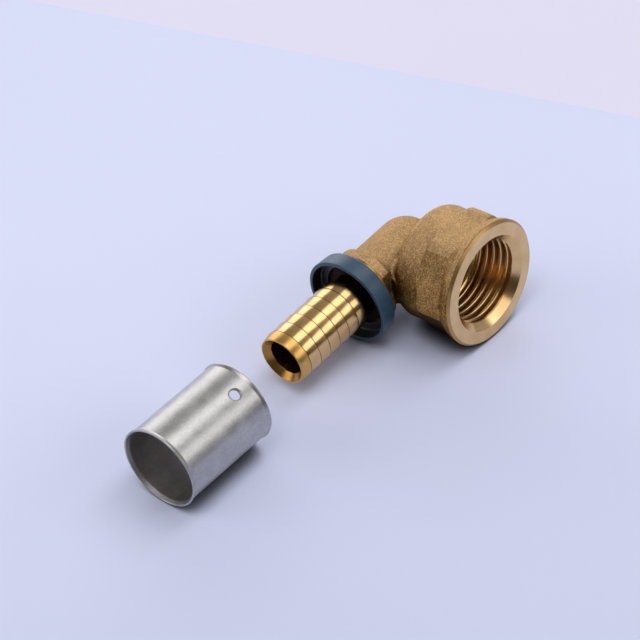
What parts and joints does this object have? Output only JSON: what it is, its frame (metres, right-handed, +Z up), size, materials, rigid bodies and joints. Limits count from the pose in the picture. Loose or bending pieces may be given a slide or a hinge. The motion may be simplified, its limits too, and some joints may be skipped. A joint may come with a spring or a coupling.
{
  "type": "press elbow",
  "caption": "Brass press elbow for plastic pipe: barbed insert with a moulded stop ring, a hexagonal internally threaded socket, and a thin steel press sleeve lying apart.",
  "frame": {"origin": "middle of the footprint of the whole set as it rests, at floor level", "axes": "+X from the bend towards the insert's tip and the sleeve, +Y towards the socket's mouth, +Z up"},
  "size_m": [0.0937, 0.0344, 0.028],
  "materials": {
    "brass": "blasted forging with bright machined faces",
    "ring_plastic": "moulded, slightly satin",
    "sleeve_steel": "satin"
  },
  "bodies": {
    "root": {"elbow_body": "brass", "stop_ring": "ring_plastic", "press_sleeve": "sleeve_steel"}
  },
  "joints": []
}
